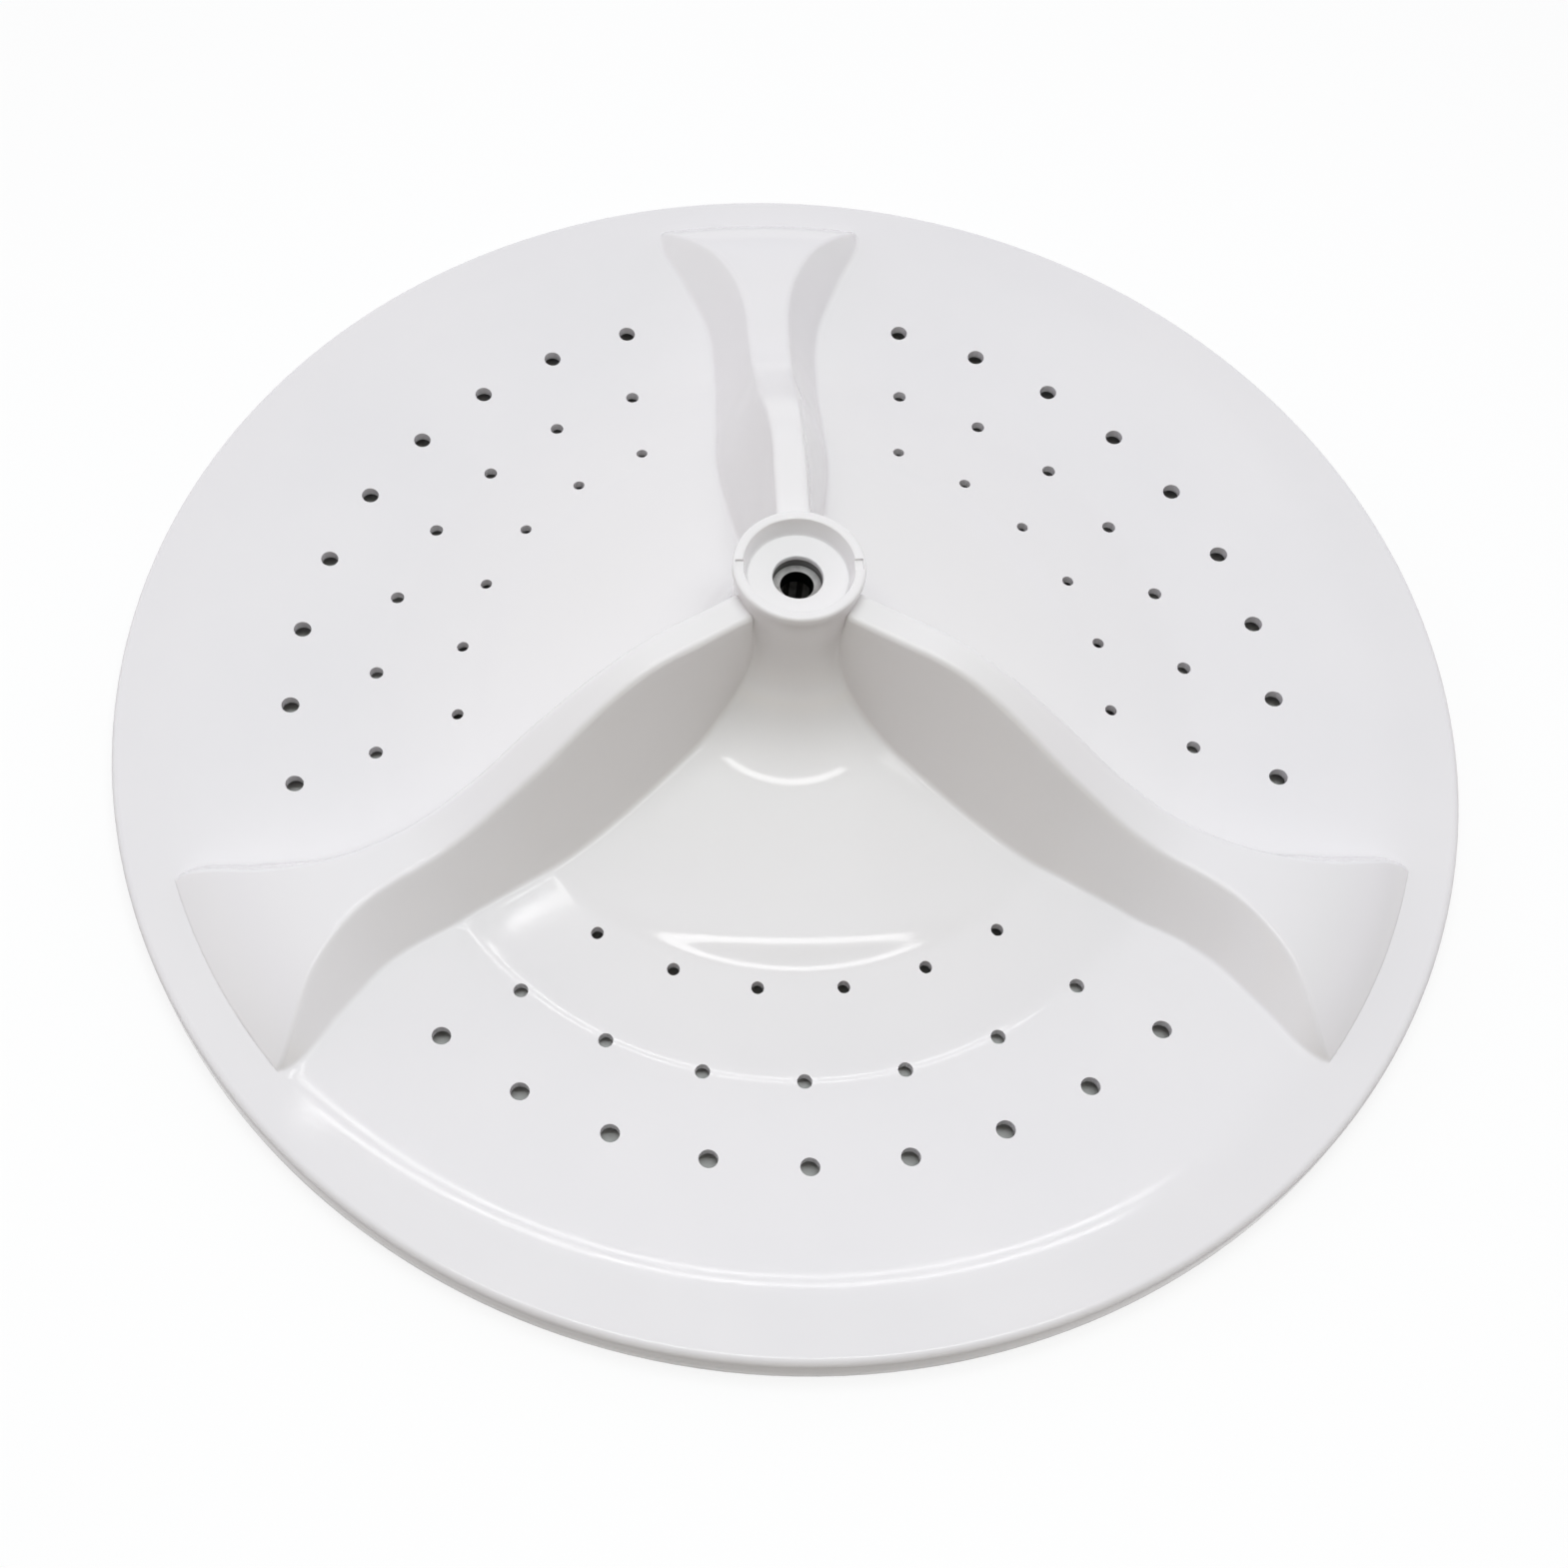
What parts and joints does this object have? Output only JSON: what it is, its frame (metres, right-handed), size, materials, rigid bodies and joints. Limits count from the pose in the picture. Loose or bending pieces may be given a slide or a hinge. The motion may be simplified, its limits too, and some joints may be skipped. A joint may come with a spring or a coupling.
{
  "type": "washing machine pulsator",
  "caption": "Dished pulsator disc for a top-loading washing machine, with hollow vanes, drain holes and a hub with a metal spline insert.",
  "frame": {"origin": "on the disc's axis, in the plane that the skirt rests on", "axes": "+Z along the disc's axis towards the cap recess, +Y along the middle of one vane"},
  "size_m": [0.338, 0.338, 0.0638],
  "materials": {
    "white_plastic": "glossy moulded white",
    "bush_metal": "turned, dull grey"
  },
  "bodies": {
    "root": {"pulsator_body": "white_plastic", "spline_insert": "bush_metal"}
  },
  "joints": []
}
